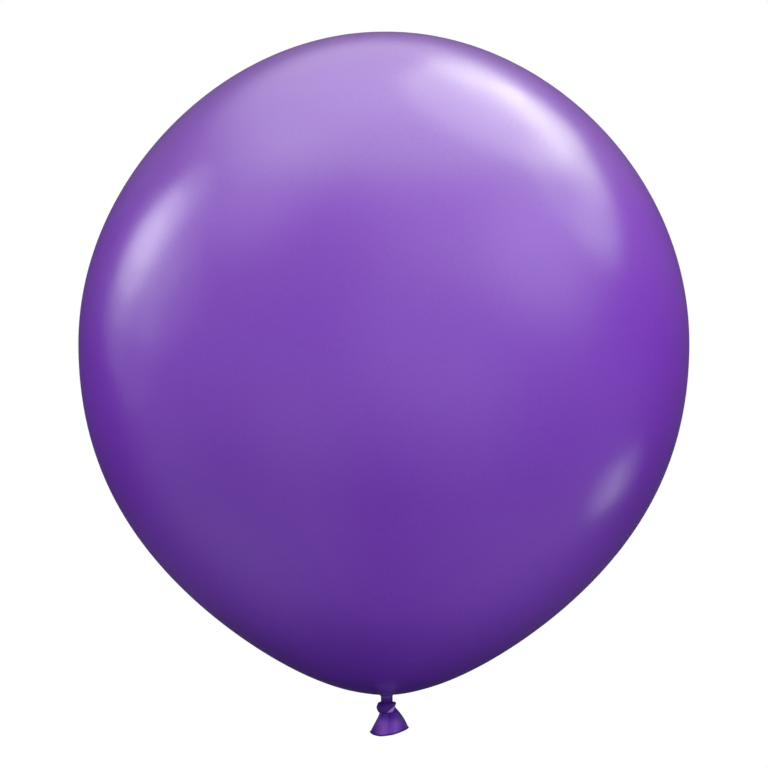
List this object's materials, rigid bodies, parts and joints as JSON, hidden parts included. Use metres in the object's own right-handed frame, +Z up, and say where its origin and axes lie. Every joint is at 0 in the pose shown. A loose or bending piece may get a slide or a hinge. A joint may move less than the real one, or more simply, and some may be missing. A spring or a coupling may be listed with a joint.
{
  "type": "latex balloon",
  "caption": "Round latex party balloon, blown up and tied: a teardrop envelope on a short gathered neck with a knot and a flared tail below it.",
  "frame": {"origin": "the middle of the gathered neck, between the envelope and the knot, where a ribbon is tied", "axes": "+Z up the balloon's axis, from the knot to the crown; +X to the right and -Y to the front, with the flattened tail's broad side facing -Y"},
  "size_m": [0.4064, 0.4062, 0.4691],
  "materials": {
    "stretched_latex": "gloss",
    "thick_latex": "satin",
    "lip_latex": "satin"
  },
  "bodies": {
    "balloon": {"envelope": "stretched_latex", "crown_spot": "thick_latex", "neck_collar": "thick_latex"},
    "neck": {"neck_core": "thick_latex"},
    "knot": {"knot_wrap": "thick_latex", "knot_core": "thick_latex"},
    "tail": {"tail_skirt": "thick_latex", "rolled_lip": "lip_latex"}
  },
  "joints": [
    {"name": "neck_pitch", "type": "hinge", "parent": "balloon", "child": "neck", "pos_m": [0, 0, 0], "axis": [1, 0, 0], "range_deg": [-35, 35], "stiffness_Nm_per_rad": 0.002},
    {"name": "neck_roll", "type": "hinge", "parent": "neck", "child": "knot", "pos_m": [0, 0, 0], "axis": [0, 1, 0], "range_deg": [-35, 35], "stiffness_Nm_per_rad": 0.002},
    {"name": "tail_flop", "type": "hinge", "parent": "knot", "child": "tail", "pos_m": [0, 0, -0.0103], "axis": [1, 0, 0], "range_deg": [-60, 60], "stiffness_Nm_per_rad": 0.001}
  ]
}
